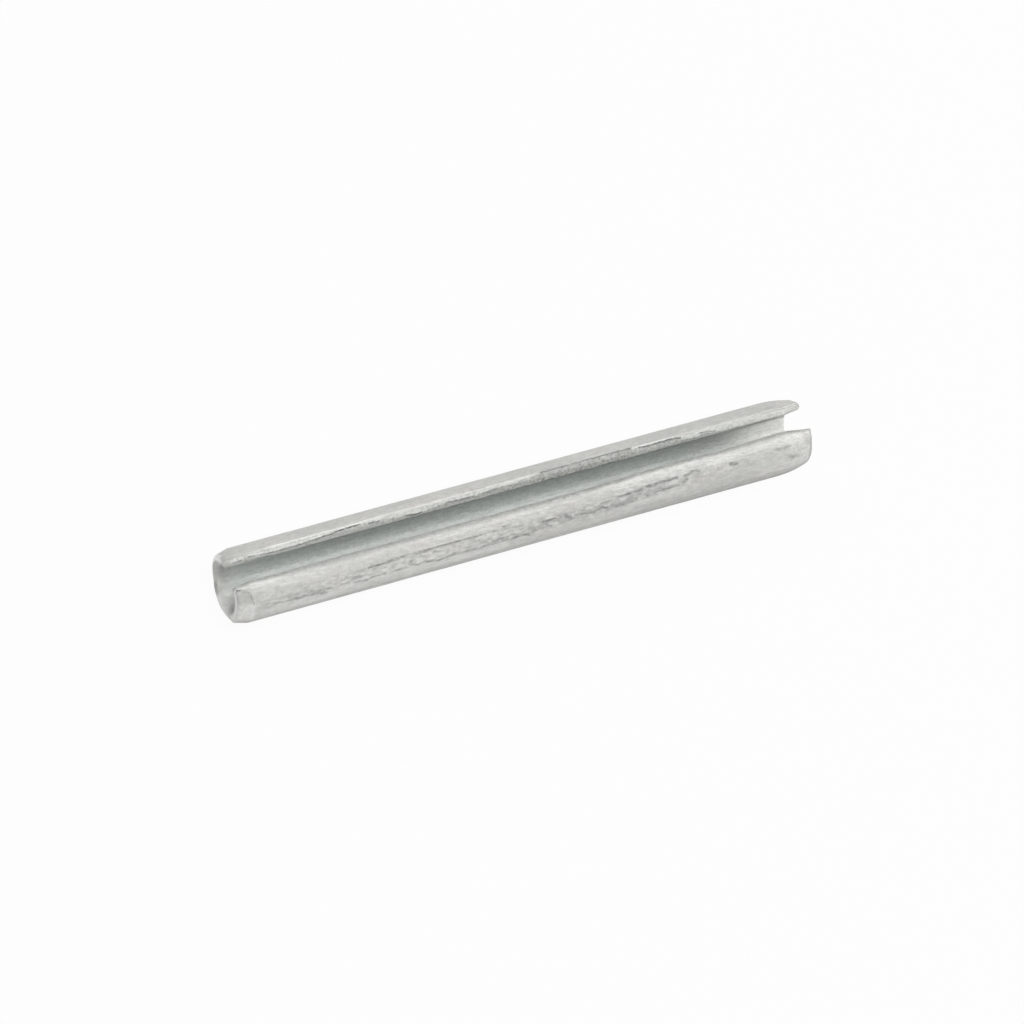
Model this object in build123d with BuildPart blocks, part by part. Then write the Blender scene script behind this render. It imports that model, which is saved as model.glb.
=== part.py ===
from build123d import *
import os
from math import asin, cos, pi, radians, sin

# Slotted spring pin (roll pin), 6 x 55: one strip of spring steel rolled into a
# C section, hardened, tumbled and zinc plated. It is a single piece. Millimetres.
#
# The pin lies along X, with the middle of its axis at the origin and its slot straight
# up (+Z). The -X end has a short turned chamfer. The +X end has a longer crowned lead,
# which is the end that enters the hole first.

# ---- driving dimensions ------------------------------------------------------------
pin_length = 55.0          # over both end faces
free_diameter = 6.55       # outside, before the pin is driven into its 6 mm hole
wall = 1.2                 # thickness of the strip
slot_gap = 2.0             # between the lips, measured at the middle of the wall
lip_outer_round = 0.30     # rounding along each lip's outer edge
lip_inner_round = 0.25     # rounding along each lip's inner edge
belly_flat = 0.75          # width of the flat that rolling leaves opposite the slot
chamfer_length = 1.2       # -X end, along the axis
chamfer_depth = 0.30       # -X end, taken off the radius
lead_length = 2.9          # +X end, along the axis
lead_depth = 0.46          # +X end, taken off the radius
lead_entry_angle = 1.5     # degrees, between the skin and the start of the lead
end_edge_round = 0.10      # rounding between each end face and its taper
bore_edge_break = 0.10     # small bevel at each mouth of the bore

# ---- worked out from them ----------------------------------------------------------
outer_radius = free_diameter / 2
bore_radius = outer_radius - wall
slot_half_angle = asin(slot_gap / 2 / (outer_radius - wall / 2))
belly_angle = pi - asin(belly_flat / 2 / outer_radius)
half_length = pin_length / 2
mouth_radius = bore_radius + bore_edge_break


def on_section(radius, angle):
    """A point of the cross-section, at an angle from straight up in radians."""
    return (radius * sin(angle), radius * cos(angle))


def lip_corners(section):
    """The corners in the upper half of the section, from the bore outwards."""
    upper = section.vertices().filter_by(lambda corner: corner.Y > 0)
    return upper.sort_by_distance((0, 0))


with BuildPart() as spring_pin:
    # The rolled strip: a C section with rounded lips and a narrow flat along its belly,
    # run a little past both ends.
    with BuildSketch(Plane.YZ) as strip:
        with BuildLine():
            angles = (slot_half_angle, (slot_half_angle + belly_angle) / 2, belly_angle)
            right_skin = ThreePointArc(*[on_section(outer_radius, angle) for angle in angles])
            left_skin = ThreePointArc(*[on_section(outer_radius, -angle) for angle in angles])
            Line(right_skin @ 1, left_skin @ 1)
            bore = ThreePointArc(
                on_section(bore_radius, slot_half_angle),
                (0, -bore_radius),
                on_section(bore_radius, -slot_half_angle),
            )
            Line(right_skin @ 0, bore @ 0)
            Line(left_skin @ 0, bore @ 1)
        make_face()
        fillet(lip_corners(strip)[:2], lip_inner_round)
        fillet(lip_corners(strip)[-2:], lip_outer_round)
    extrude(amount=half_length + wall, both=True)

    # The ends are turned: what lies inside this outline of revolution is kept. The
    # chamfer and the lead run on past the skin, so that they meet it at an edge.
    with BuildSketch(Plane.XZ) as turned_outline:
        with BuildLine():
            chamfer_rise = (chamfer_length, chamfer_depth)
            chamfer_foot = Vector(-half_length, outer_radius - chamfer_depth)
            lead_start = Vector(half_length - lead_length, outer_radius)
            lead_foot = Vector(half_length, outer_radius - lead_depth)
            entry = radians(lead_entry_angle)
            lead_tangent = Vector(cos(entry), -sin(entry))
            left_end = Polyline(
                (mouth_radius - half_length, 0),
                (-half_length, mouth_radius),
                chamfer_foot,
                chamfer_foot + Vector(*chamfer_rise) * 2,
                lead_start - lead_tangent * lead_length,
                lead_start,
            )
            TangentArc(lead_start, lead_foot, tangent=lead_tangent)
            Polyline(
                lead_foot,
                (half_length, mouth_radius),
                (half_length - mouth_radius, 0),
                left_end @ 0,
            )
        make_face()
        corners = turned_outline.vertices()
        feet = [corners.sort_by_distance(foot)[0] for foot in (chamfer_foot, lead_foot)]
        fillet(feet, end_edge_round)
    revolve(axis=Axis.X, mode=Mode.INTERSECT)

spring_pin.part.label = "spring_pin"

os.makedirs("parts", exist_ok=True)
export_step(spring_pin.part, "parts/spring_pin.step")
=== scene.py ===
"""Looks of a slotted spring pin: one strip of zinc plated steel rolled into a C."""

import logging
from abc import ABC, abstractmethod
from dataclasses import dataclass, field
from enum import Enum
from math import asin, cos, degrees, exp, hypot, pi, radians, sin, sqrt

import bmesh
import bpy
from mathutils import Matrix, Vector, noise


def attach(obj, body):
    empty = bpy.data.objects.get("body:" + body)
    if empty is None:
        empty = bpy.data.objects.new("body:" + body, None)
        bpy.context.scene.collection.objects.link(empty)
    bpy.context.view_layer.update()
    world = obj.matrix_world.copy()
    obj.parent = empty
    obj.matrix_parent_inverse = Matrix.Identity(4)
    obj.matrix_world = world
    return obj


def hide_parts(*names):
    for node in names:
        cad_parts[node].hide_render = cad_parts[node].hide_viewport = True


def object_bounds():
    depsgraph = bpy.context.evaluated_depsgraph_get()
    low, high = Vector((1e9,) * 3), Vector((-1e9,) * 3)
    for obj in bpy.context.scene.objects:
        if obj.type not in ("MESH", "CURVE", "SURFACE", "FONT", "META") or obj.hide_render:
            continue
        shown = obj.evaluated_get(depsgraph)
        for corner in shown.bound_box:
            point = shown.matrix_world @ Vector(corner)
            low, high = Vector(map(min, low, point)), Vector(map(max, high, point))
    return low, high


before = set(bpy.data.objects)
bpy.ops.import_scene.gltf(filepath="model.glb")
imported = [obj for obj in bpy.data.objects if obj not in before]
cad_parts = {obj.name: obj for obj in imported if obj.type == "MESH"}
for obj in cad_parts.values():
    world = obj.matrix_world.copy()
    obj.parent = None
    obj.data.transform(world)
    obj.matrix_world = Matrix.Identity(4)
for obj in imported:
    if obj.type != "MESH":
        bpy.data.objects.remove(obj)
CAD_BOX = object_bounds()

MM = 0.001
IMAGE_WIDTH = 1024
SENSOR_WIDTH = 36.0

log = logging.getLogger("spring_pin")

# A Line is a smooth line through points of place and height, in order of place.
Line = tuple[tuple[float, float], ...]
Colour = tuple[float, float, float]
Place = tuple[float, float, float]

# How much a place in the wall belongs to the skin, and how much it is off the bore.
ON_SKIN: Line = ((0.7, 0.0), (0.95, 1.0))
OFF_BORE: Line = ((0.0, 0.0), (0.1, 1.0))


class Side(Enum):
    """The two sides of the slot, by the sign of Y."""

    NEAR = -1
    FAR = 1


class Trace(Enum):
    """What wear leaves in the plating, and where light and shade are painted on it, by the name of
    the mesh's attribute for it.
    """

    SCAR = "scar"
    ROUGH = "rough"
    # Mostly painted shade, partly duller or darker plating.
    SHADE = "shade"
    # Rubbed marks and painted highlight.
    SHINE = "shine"
    TORN = "torn"
    INSIDE = "inside"
    # Painted light.
    PAINTED_LIGHT = "clean"


class Measure(Enum):
    """What a line of a patch runs along, by the name of the spot's value for it."""

    X = "x"
    GIRTH = "girth"
    WALL = "outside"
    TURN = "turn"
    LIP = "over_lip"
    CUT = "from_cut"
    LEAD = "from_lead"


def smoothstep(low: float, high: float, value: float) -> float:
    """Rises smoothly from 0 at low to 1 at high.

    Args:
        low: Where the rise starts.
        high: Where the rise ends. It may be lower than low, for a fall.
        value: The place that is asked for.

    Returns:
        A share from 0 to 1.
    """
    share = min(max((value - low) / (high - low), 0.0), 1.0)
    return share * share * (3.0 - 2.0 * share)


def read_off(line: Line, place: float) -> float:
    """Reads a height off a smooth line that is given by a few points.

    Args:
        line: Points of place and height, in order of place.
        place: The place that is asked for.

    Returns:
        The height there. Before the first point and past the last one theirs hold.
    """
    for (start, low), (end, high) in zip(line, line[1:]):
        if place < end:
            return low + (high - low) * smoothstep(start, end, place)
    return line[-1][1]


def rounding(radius: float, distance: float) -> float:
    """How far a rounded corner stands back from the sharp one that it came from.

    Args:
        radius: The round's radius.
        distance: The distance from the sharp corner, along the surface.

    Returns:
        How much is missing there, across the surface.
    """
    if distance >= radius:
        return 0.0
    share = 1.0 - max(distance, 0.0) / radius
    return radius * (1.0 - sqrt(1.0 - share * share))


def grain(x: float, y: float, z: float = 0.0) -> float:
    """Smooth noise from -1 to 1 at a place that is given in noise cells."""
    return noise.noise(Vector((x, y, z)))


@dataclass(frozen=True)
class Spot:
    """A place of the rolled strip.

    Attributes:
        x: Millimetres along the pin from its middle.
        girth: Millimetres round the skin from the near lip.
        outside: The place in the wall, from 0 at the bore to 1 at the skin.
        turn: Degrees round from the belly, positive on the far side.
        over_lip: Millimetres past the start of the far lip's round, and 0 on the plain skin.
        from_cut: Millimetres from the chamfered end.
        from_lead: Millimetres from the end with the lead.
    """

    x: float
    girth: float
    outside: float
    turn: float
    over_lip: float
    from_cut: float
    from_lead: float


@dataclass(frozen=True)
class Unevenness:
    """A fine unevenness that runs on over the whole pin.

    Attributes:
        height: Its greatest height.
        along: How often it changes along the pin, in noise cells for each millimetre.
        around: How often it changes round the skin, in noise cells for each millimetre.
        layer: A number that sets it apart from the other ones.
    """

    height: float
    along: float
    around: float
    layer: float = 0.0

    def at(self, spot: Spot) -> float:
        """How high it stands at a place of the pin."""
        return self.height * grain(self.along * spot.x, self.around * spot.girth, self.layer)


@dataclass(frozen=True)
class Mark:
    """A thin line or a soft place on the skin: scored, rubbed or darker.

    Attributes:
        path: Places along it: millimetres along the pin, then round its skin from the near lip.
        half_width: In millimetres.
        strength: How strongly it shows, from 0 to 1.
    """

    path: Line
    half_width: float
    strength: float

    def nearness(self, x: float, girth: float) -> float:
        """How much of the mark there is at a place of the skin.

        Args:
            x: Millimetres along the pin.
            girth: Millimetres round the skin from the near lip.

        Returns:
            From 0 away from the mark to its strength on its line.
        """
        reach = 3 * self.half_width
        if not self.path[0][0] - reach < x < self.path[-1][0] + reach:
            return 0.0
        best = reach
        for (x0, girth0), (x1, girth1) in zip(self.path, self.path[1:]):
            along, across = x1 - x0, girth1 - girth0
            span = along * along + across * across
            share = ((x - x0) * along + (girth - girth0) * across) / span
            share = min(max(share, 0.0), 1.0)
            best = min(best, hypot(x - x0 - share * along, girth - girth0 - share * across))
        return self.strength * exp(-((best / self.half_width) ** 2))


# The long scored lines on the near side, then the small marks, then the seams in the far lip.
SCARS = (
    Mark(((-25.6, 2.85), (-25.1, 2.9), (-24.6, 3.0)), 0.10, 0.5),
    Mark(((-24.4, 2.65), (-23.6, 2.75), (-22.6, 2.85), (-21.8, 2.85), (-20.0, 2.6)), 0.13, 0.6),
    Mark(((-22.9, 2.5), (-22.1, 2.35), (-20.8, 2.3)), 0.30, 0.34),
    Mark(((-21.6, 2.75), (-20.4, 2.85), (-19.5, 3.1)), 0.34, 0.5),
    Mark(((-19.4, 2.7), (-17.3, 2.7)), 0.11, 0.65),
    Mark(((-18.7, 2.15), (-17.9, 2.15)), 0.09, 0.5),
    Mark(((-16.9, 2.25), (-16.3, 2.35)), 0.13, 0.6),
    Mark(((-16.9, 2.85), (-15.7, 2.95), (-15.1, 2.75), (-13.9, 2.75)), 0.11, 0.65),
    Mark(((-15.5, 1.7), (-15.1, 1.6), (-14.5, 1.7), (-14.0, 1.6), (-12.6, 1.6)), 0.13, 0.7),
    Mark(((-12.6, 1.5), (-11.2, 1.46), (-8.3, 1.48), (-6.0, 1.48), (-4.6, 1.5)), 0.09, 0.7),
    Mark(((-11.0, 1.6), (-9.9, 1.7), (-9.1, 1.9)), 0.10, 0.5),
    Mark(((-13.2, 2.75), (-11.9, 2.75)), 0.13, 0.6),
    Mark(((-11.5, 2.6), (-10.9, 2.8), (-10.2, 2.7), (-8.9, 2.95), (-7.6, 2.7)), 0.16, 0.6),
    Mark(((-7.6, 2.7), (-6.2, 2.8), (-5.0, 2.9), (-4.2, 2.75), (-3.0, 2.7)), 0.19, 0.55),
    Mark(((-4.6, 1.5), (-3.2, 1.5), (-2.0, 1.55), (-1.0, 1.75)), 0.14, 0.5),
    Mark(((-3.4, 2.35), (-2.3, 2.5)), 0.14, 0.5),
    Mark(((-3.0, 2.7), (-1.8, 2.8), (-0.9, 2.7), (-0.3, 2.9), (0.3, 2.6)), 0.15, 0.7),
    Mark(((-0.4, 2.2), (0.6, 2.35)), 0.18, 0.45),
    Mark(((0.9, 1.9), (1.9, 1.95), (2.3, 1.9)), 0.13, 0.8),
    Mark(((1.3, 2.2), (1.7, 2.55)), 0.18, 0.6),
    Mark(((2.6, 1.9), (3.1, 1.85), (3.6, 2.3)), 0.28, 0.55),
    Mark(((4.1, 2.1), (4.8, 2.2), (5.9, 2.35), (6.6, 2.1), (7.2, 2.4), (10.0, 2.3)), 0.16, 0.65),
    Mark(((6.5, 1.65), (7.6, 1.7), (8.6, 1.5), (10.3, 1.45), (12.7, 1.3), (14.0, 1.3)), 0.13, 0.72),
    Mark(((8.9, 2.15), (10.4, 1.9)), 0.09, 0.6),
    Mark(((10.7, 2.1), (11.4, 2.2), (12.1, 2.0), (14.0, 2.0), (14.6, 1.9), (14.9, 1.7)),
         0.11, 0.65),
    Mark(((14.7, 1.35), (15.5, 1.2), (16.1, 1.25)), 0.13, 0.7),
    Mark(((22.3, 1.42), (23.3, 1.38)), 0.10, 0.3),
    Mark(((23.5, 1.36), (24.3, 1.30), (25.0, 1.30)), 0.10, 0.6),
    Mark(((-11.65, 2.2), (-11.55, 2.2)), 0.10, 0.6),
    Mark(((-3.9, 2.4), (-3.7, 2.4)), 0.13, 0.6),
    Mark(((-2.7, 1.35), (-2.1, 1.4)), 0.22, 0.6),
    Mark(((17.9, 1.2), (17.95, 1.45)), 0.10, 0.45),
    Mark(((19.1, 1.4), (19.7, 1.5)), 0.14, 1.0),
    Mark(((24.8, 2.2), (25.2, 2.4), (25.6, 2.3)), 0.23, 0.45),
    Mark(((25.95, 1.3), (25.95, 2.0), (25.9, 2.7)), 0.10, 0.35),
    Mark(((-27.45, 0.42), (-27.1, 0.5)), 0.12, 1.0),
    Mark(((-27.1, 0.55), (-26.5, 0.68)), 0.10, 0.5),
    Mark(((-27.05, 0.75), (-26.57, 0.9), (-26.4, 1.25), (-26.27, 1.7)), 0.11, 0.5),
    Mark(((-26.27, 1.7), (-26.21, 2.2), (-26.14, 2.5)), 0.07, 0.45),
    Mark(((-26.8, 18.7), (-26.1, 18.7)), 0.09, 0.7),
    Mark(((-25.3, 18.5), (-24.1, 18.6), (-23.2, 18.7), (-20.5, 18.65), (-18.9, 18.55)), 0.06, 0.75),
    Mark(((-25.8, 18.85), (-25.1, 18.9), (-23.1, 18.95)), 0.07, 0.6),
    Mark(((-18.9, 18.55), (-17.7, 18.45), (-17.0, 18.35), (-15.0, 18.25)), 0.08, 1.0),
    Mark(((-14.1, 18.45), (-13.7, 18.4), (-13.1, 18.45)), 0.07, 0.9),
    Mark(((-10.6, 18.7), (-10.2, 18.7), (-9.8, 18.8), (-9.1, 18.8)), 0.11, 0.75),
    Mark(((-6.8, 18.45), (-5.6, 18.55), (-4.2, 18.6)), 0.12, 0.6),
    Mark(((-4.4, 17.95), (-3.0, 18.0)), 0.05, 0.6),
    Mark(((-3.3, 18.55), (-1.9, 18.45), (-0.5, 18.55), (0.9, 18.6)), 0.12, 0.5),
    Mark(((2.2, 18.04), (5.8, 18.04), (7.6, 18.04), (10.9, 18.04)), 0.08, 1.0),
    Mark(((11.7, 18.2), (12.2, 18.3), (13.1, 18.25), (15.2, 18.25), (15.7, 18.45)), 0.09, 1.0),
    Mark(((15.8, 18.8), (17.2, 18.85)), 0.12, 0.4),
    Mark(((17.6, 18.45), (18.3, 18.45), (19.1, 18.65)), 0.08, 0.7),
    Mark(((22.4, 19.1), (24.1, 19.12), (25.3, 19.15)), 0.10, 1.0),
)

# Small places on the near side that are rubbed bright, and broader lighter places.
RUBS = (
    Mark(((-27.25, 0.34), (-26.8, 0.36)), 0.12, 0.40),
    Mark(((-25.6, 0.45), (-23.4, 0.6)), 0.13, 0.10),
    Mark(((-23.6, 1.1), (-22.0, 1.15), (-20.2, 1.2)), 0.13, 0.35),
    Mark(((-14.6, 2.3), (-13.4, 2.5)), 0.14, 0.35),
    Mark(((0.9, 0.9), (1.2, 1.2)), 0.14, 0.45),
    Mark(((17.0, 0.8), (19.0, 1.0)), 0.20, 0.25),
    # Painted light: the lower skin towards the chamfered end is made lighter.
    Mark(((-24.5, 3.4), (-20.0, 3.6), (-17.0, 3.0), (-11.0, 3.0), (-3.0, 3.3)), 0.60, 0.28),
    Mark(((9.5, 2.75), (14.5, 2.6)), 0.30, 0.28),
    Mark(((22.3, 2.2), (24.3, 2.4)), 0.55, 0.14),
)

# Broad places that are darker.
DULL = (
    Mark(((-13.5, 1.1), (6.0, 1.1)), 0.40, 0.14),
    Mark(((-11.0, 2.95), (-2.0, 3.0)), 0.25, 0.20),
    Mark(((10.0, 3.4), (15.0, 3.2), (21.0, 3.2)), 0.65, 0.26),
    Mark(((-2.0, 3.6), (10.0, 3.6)), 0.35, 0.10),
    Mark(((-27.3, 1.2), (-26.7, 1.3)), 0.35, 0.40),
    Mark(((-27.32, 0.8), (-27.36, 1.5), (-27.38, 3.3)), 0.13, 0.25),
    Mark(((26.6, 0.45), (27.0, 0.7), (27.0, 1.2)), 0.40, 0.7),
)


@dataclass(frozen=True)
class RaggedMarks:
    """Marks of one kind, whose edges are ragged.

    Attributes:
        marks: The marks.
        shift: How far their edges are moved along the pin.
        wander: How far their edges are moved round the skin, in long waves.
        ripple: How far their edges are moved round the skin, in short waves.
        gaps: How much their strength changes along them.
    """

    marks: tuple[Mark, ...]
    shift: Unevenness = Unevenness(0.10, 3.1, 3.7, 13.0)
    wander: Unevenness = Unevenness(0.05, 1.9, 2.9, 17.0)
    ripple: Unevenness = Unevenness(0.04, 5.3, 6.1, 19.0)
    gaps: Unevenness = Unevenness(0.6, 2.2, 3.1, 23.0)

    def at(self, spot: Spot) -> float:
        """How much of the marks there is at a place.

        Args:
            spot: The place of the pin.

        Returns:
            The share of the strongest one there, from 0 to 1.
        """
        x = spot.x + self.shift.at(spot)
        girth = spot.girth + self.wander.at(spot) + self.ripple.at(spot)
        share = max(mark.nearness(x, girth) for mark in self.marks)
        return share * min(max(0.9 + self.gaps.at(spot), 0.4), 1.0)


@dataclass(frozen=True)
class Patch:
    """A soft-edged place of the pin.

    Attributes:
        lines: How much of it there is along each measure. Their product holds.
    """

    lines: dict[Measure, Line]

    def at(self, spot: Spot) -> float:
        """How much of the patch there is at a place.

        Args:
            spot: The place of the pin.

        Returns:
            The product of what its lines say there.
        """
        share = 1.0
        for measure, line in self.lines.items():
            share *= read_off(line, getattr(spot, measure.value))
        return share


class Wear(ABC):
    """One cause of wear, or of painted light and shade. It says which traces it leaves at a place
    of the pin.
    """

    @abstractmethod
    def shares(self, spot: Spot) -> dict[Trace, float]:
        """How much of each trace there is at a place. One that isn't named counts as 0."""


@dataclass(frozen=True)
class ShearedLip(Wear):
    """The far lip, which the shears left smooth above a ragged seam in its face and torn below,
    with painted light and shade on it.

    Attributes:
        seam: Where the seam lies in the wall, along the pin.
        seam_waves: How the seam wanders: how far, in how many noise cells for each millimetre
            and in which row of the noise.
        seam_edge: How the smooth part starts, by the distance past the seam.
        groove: How deep the seam's own groove is, along the pin.
        groove_width: How wide the groove is to either side, as a share of the wall.
        tearing: How far the face is torn under the seam, along the pin.
        torn_wall: How much of the tearing there is through the wall.
        face: Where the lip's face is.
        face_highlight: The painted highlight on the face where it isn't torn, through the wall.
        edge_highlight: The painted highlight on its outer half, through the wall.
        shine: How much of the face's shine there is, along the pin: the smooth band's sheen and
            painted highlight.
        shine_start: How far past the start of the lip's round it starts, along the pin.
        shine_edge: How it starts, by the distance past that.
        light: Where painted light makes the face brightest.
        light_edge: How that starts, by the same distance.
        corner: How much painted shade dims the outer corner's highlight.
        foot: The painted shade on the face's inner edge, under the lip.
    """

    seam: Line = ((-27.5, 0.45), (-25.3, 0.52), (-24.0, 0.52), (-23.2, 0.48), (-20.5, 0.50),
                  (-18.9, 0.58), (-17.7, 0.68), (-17.0, 0.76), (-15.0, 0.87), (-14.6, 0.72),
                  (-13.0, 0.64), (-12.0, 0.55), (-9.0, 0.40), (-8.0, 0.48), (-6.8, 0.64),
                  (-4.2, 0.55), (-3.3, 0.62), (-2.0, 0.72), (0.0, 0.80), (1.5, 0.92),
                  (2.3, 1.15), (10.9, 1.15), (11.7, 0.92), (12.2, 0.84), (15.2, 0.84),
                  (15.8, 0.55), (17.0, 0.36), (18.0, 0.50), (19.0, 0.38), (20.0, 0.30),
                  (27.5, 0.30))
    seam_waves: tuple[Place, ...] = ((0.04, 2.1, 4.0), (0.03, 6.0, 8.0))
    seam_edge: Line = ((-0.04, 0.0), (0.06, 1.0))
    groove: Line = ((25.0, 0.35), (27.0, 0.0))
    groove_width: float = 0.05
    tearing: Line = ((-25.0, 0.1), (-22.5, 0.2), (-19.5, 0.3), (-18.5, 0.15), (-14.0, 0.2),
                     (-11.0, 0.45), (-7.0, 0.6), (1.0, 0.65), (2.5, 0.9), (10.0, 0.85),
                     (12.0, 0.4), (15.5, 0.4), (16.5, 0.3), (19.0, 0.15), (27.5, 0.1))
    torn_wall: Line = ((0.35, 1.0), (0.8, 0.5))
    face: Patch = Patch({
        Measure.LIP: ((0.0, 0.0), (0.12, 1.0)),
        Measure.WALL: OFF_BORE,
    })
    face_highlight: Line = ((0.1, 0.0), (0.5, 0.45))
    edge_highlight: Line = ((0.45, 0.0), (0.7, 0.40))
    shine: Patch = Patch({
        Measure.X: ((-27.4, 0.25), (-26.7, 1.0), (25.2, 1.0), (26.7, 0.0)),
        Measure.WALL: OFF_BORE,
    })
    shine_start: Line = ((-25.5, 0.10), (-23.5, 0.0), (-14.0, 0.0), (-11.0, 0.05), (-3.0, 0.05),
                         (2.0, 0.0), (13.0, 0.0), (16.5, 0.10), (22.0, 0.10), (25.5, 0.20))
    shine_edge: Line = ((0.10, 0.0), (0.28, 1.0))
    light: Patch = Patch({
        Measure.X: ((-24.0, 0.0), (-22.5, 0.35), (-18.5, 0.35), (-16.0, 0.0), (15.0, 0.0),
                    (17.0, 0.40), (24.8, 0.45), (25.8, 0.0)),
        Measure.WALL: ((0.50, 0.0), (0.62, 1.0)),
    })
    light_edge: Line = ((0.02, 0.0), (0.14, 1.0))
    corner: Patch = Patch({
        Measure.X: ((-18.0, 0.45), (-14.0, 0.0), (14.0, 0.0), (18.0, 0.45), (24.0, 0.45),
                    (26.0, 0.855)),
        Measure.LIP: ((0.0, 0.0), (0.04, 1.0), (0.12, 1.0), (0.24, 0.0)),
        Measure.WALL: ON_SKIN,
    })
    foot: Patch = Patch({
        Measure.X: ((-21.0, 0.19), (-17.0, 0.95), (18.0, 0.95), (23.0, 0.475)),
        Measure.LIP: ((0.3, 0.0), (0.5, 1.0)),
        Measure.WALL: ((0.08, 1.0), (0.26, 0.0)),
    })

    def shares(self, spot: Spot) -> dict[Trace, float]:
        """What the shears left at a place.

        Args:
            spot: The place of the pin.

        Returns:
            Where the lip is torn, smooth, kept bright and dull.
        """
        if spot.over_lip == 0.0:
            return {}
        seam = read_off(self.seam, spot.x)
        for height, cells, row in self.seam_waves:
            seam += height * grain(cells * spot.x, row)
        past_seam = spot.outside - seam
        smooth = read_off(self.seam_edge, past_seam)
        tearing = read_off(self.tearing, spot.x)
        torn = (1.0 - smooth) * tearing * read_off(self.torn_wall, spot.outside)
        torn += read_off(self.groove, spot.x) * exp(-((past_seam / self.groove_width) ** 2))

        # Painted highlight on the lip's face, less where it is torn.
        rubbed = (1.0 - tearing) * read_off(self.face_highlight, spot.outside)
        rubbed += read_off(self.edge_highlight, spot.outside)
        past_start = spot.over_lip - read_off(self.shine_start, spot.x)
        shine = self.shine.at(spot) * read_off(self.shine_edge, past_start)
        # Shine is the smooth band's sheen with painted highlight; the rest is painted light and
        # painted shade.
        return {
            Trace.TORN: torn * self.face.at(spot),
            Trace.SHINE: shine * max(smooth, rubbed),
            Trace.PAINTED_LIGHT: self.light.at(spot) * read_off(self.light_edge, past_start),
            Trace.SHADE: max(self.corner.at(spot), self.foot.at(spot)),
        }


@dataclass(frozen=True)
class RoundedLip(Wear):
    """The near lip's rounded edge, which is darker and a little torn.

    Attributes:
        width: How far the edge reaches round the skin, along the pin.
        dull: Where it is darker, and by how much.
        dull_edge: How the darkening ends round the skin, in shares of the width.
        torn: Where it is torn.
        torn_edge: How the tearing ends round the skin, in shares of the width.
    """

    width: Line = ((-27.0, 0.30), (-25.5, 0.40), (-22.0, 0.60), (2.0, 0.60), (8.0, 0.47),
                   (16.0, 0.47), (24.0, 0.62), (27.0, 0.55))
    dull: Patch = Patch({
        Measure.X: ((-27.4, 0.8), (-26.0, 0.75), (-24.0, 0.8), (23.0, 0.8), (26.0, 0.7),
                    (27.3, 0.5)),
        Measure.WALL: ON_SKIN,
    })
    dull_edge: Line = ((0.37, 1.0), (1.0, 0.0))
    torn: Patch = Patch({
        Measure.X: ((-27.3, 0.0), (-26.5, 0.5)),
        Measure.WALL: ((0.3, 0.0), (0.5, 1.0)),
    })
    torn_edge: Line = ((0.42, 1.0), (0.92, 0.0))

    def shares(self, spot: Spot) -> dict[Trace, float]:
        """How dark and torn the near lip is at a place.

        Args:
            spot: The place of the pin.

        Returns:
            The shares of both traces.
        """
        out = spot.girth / read_off(self.width, spot.x)
        return {
            Trace.SHADE: self.dull.at(spot) * read_off(self.dull_edge, out),
            Trace.TORN: self.torn.at(spot) * read_off(self.torn_edge, out),
        }


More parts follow.
